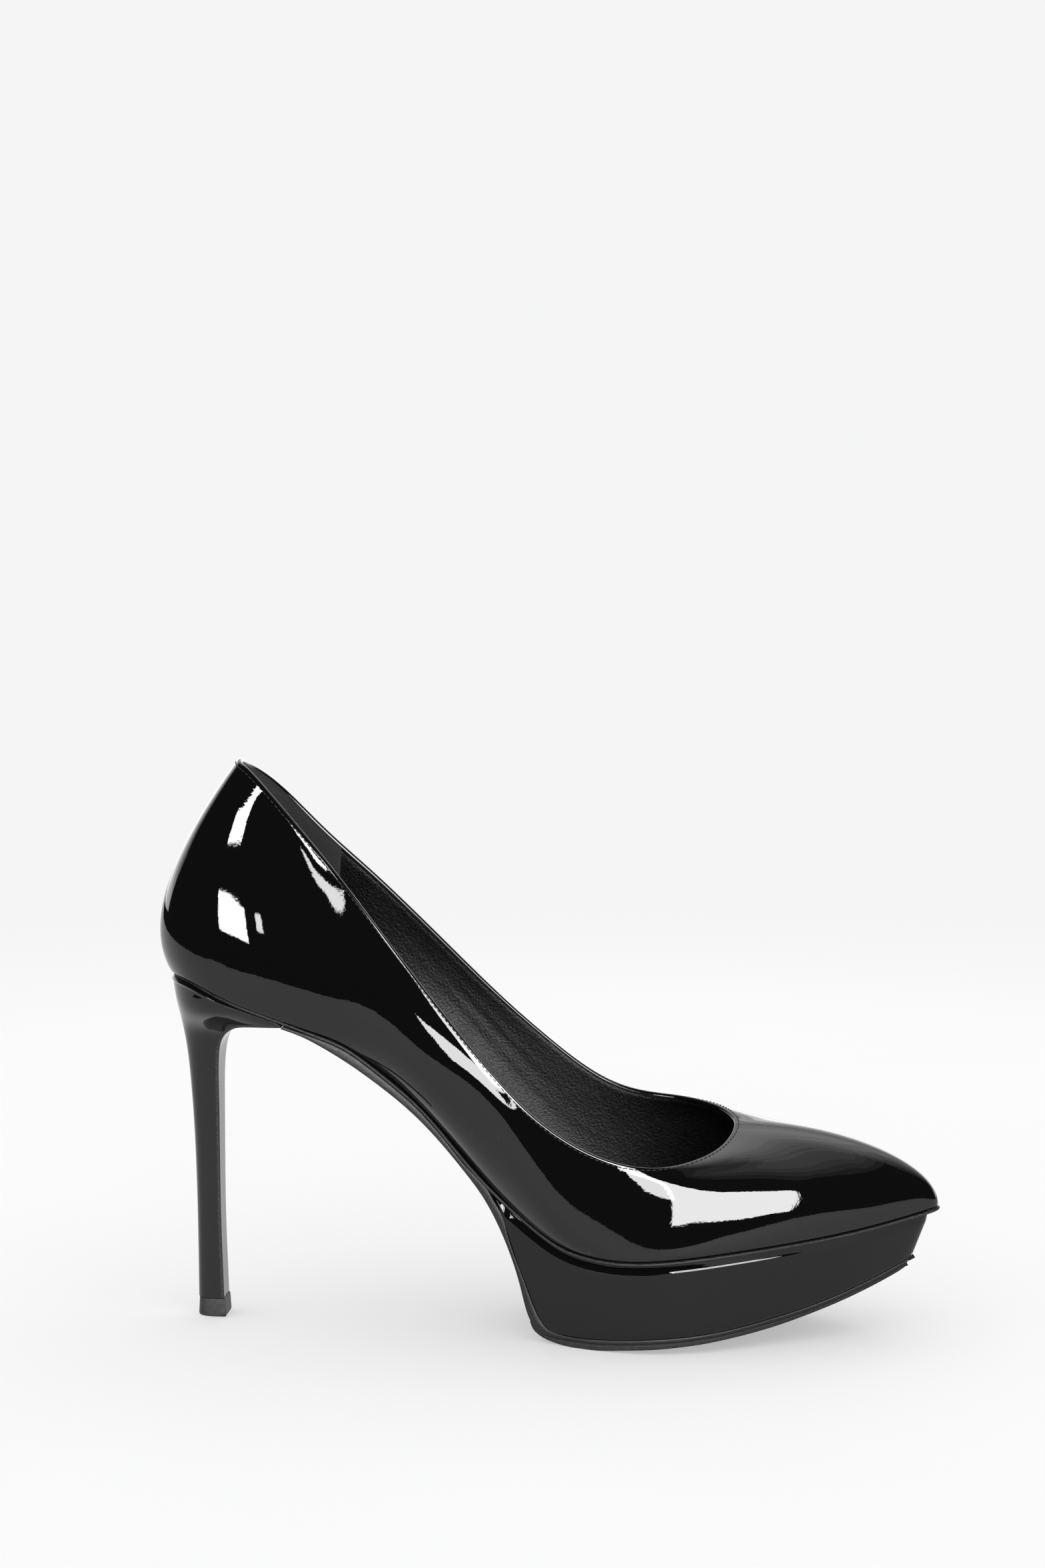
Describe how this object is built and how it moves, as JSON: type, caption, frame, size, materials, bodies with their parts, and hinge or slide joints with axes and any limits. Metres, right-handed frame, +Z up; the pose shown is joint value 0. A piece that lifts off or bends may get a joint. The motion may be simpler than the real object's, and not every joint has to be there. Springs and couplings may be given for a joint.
{
  "type": "high heel pump",
  "caption": "Black patent pointed-toe pump with a tall thin heel, a wrapped platform under the forepart, stitched topline, leather lining and suede heel grip.",
  "frame": {"origin": "on the ground under the middle of the whole shoe's length and width", "axes": "+X to the toe, +Y to the inner side of the foot, +Z up"},
  "size_m": [0.2311, 0.0726, 0.1683],
  "materials": {
    "patent_leather": "high gloss lacquer",
    "thread": "twisted polyester",
    "tape": "woven nylon",
    "lining_leather": "pebbled grain, satin",
    "suede": "napped",
    "stiffener": "thermoplastic sheet",
    "interlining": "nonwoven",
    "board": "pressed fibre",
    "foam": "open cell",
    "spring_steel": "blued",
    "fixing_steel": "plated",
    "cork": "granulated cork",
    "edge_leather": "inked edge, satin",
    "sole_leather": "dyed, waxed edge",
    "sole_rubber": "fine textured",
    "heel_plastic": "moulded",
    "tip_plastic": "moulded polyurethane"
  },
  "bodies": {
    "root": {"upper": "patent_leather", "topline_stitching": "thread", "topline_tape": "tape", "back_seam_tape": "tape", "vamp_lining": "lining_leather", "quarter_lining_lateral": "lining_leather", "quarter_lining_medial": "lining_leather", "heel_grip": "suede", "heel_counter": "stiffener", "toe_puff": "stiffener", "side_stiffener_lateral": "interlining", "side_stiffener_medial": "interlining", "insole_board": "board", "sock_foam": "foam", "sock_lining": "lining_leather", "steel_shank": "spring_steel", "shank_rivets": "fixing_steel", "bottom_filler": "cork", "rand": "edge_leather", "platform_core": "cork", "platform_cover": "patent_leather", "outsole": "sole_leather", "half_sole": "sole_rubber", "heel_core": "heel_plastic", "heel_tube": "fixing_steel", "heel_cover": "patent_leather", "breast_flap": "patent_leather", "heel_screw": "fixing_steel", "heel_nails": "fixing_steel", "top_piece": "tip_plastic", "top_piece_dowel": "fixing_steel"}
  },
  "joints": []
}
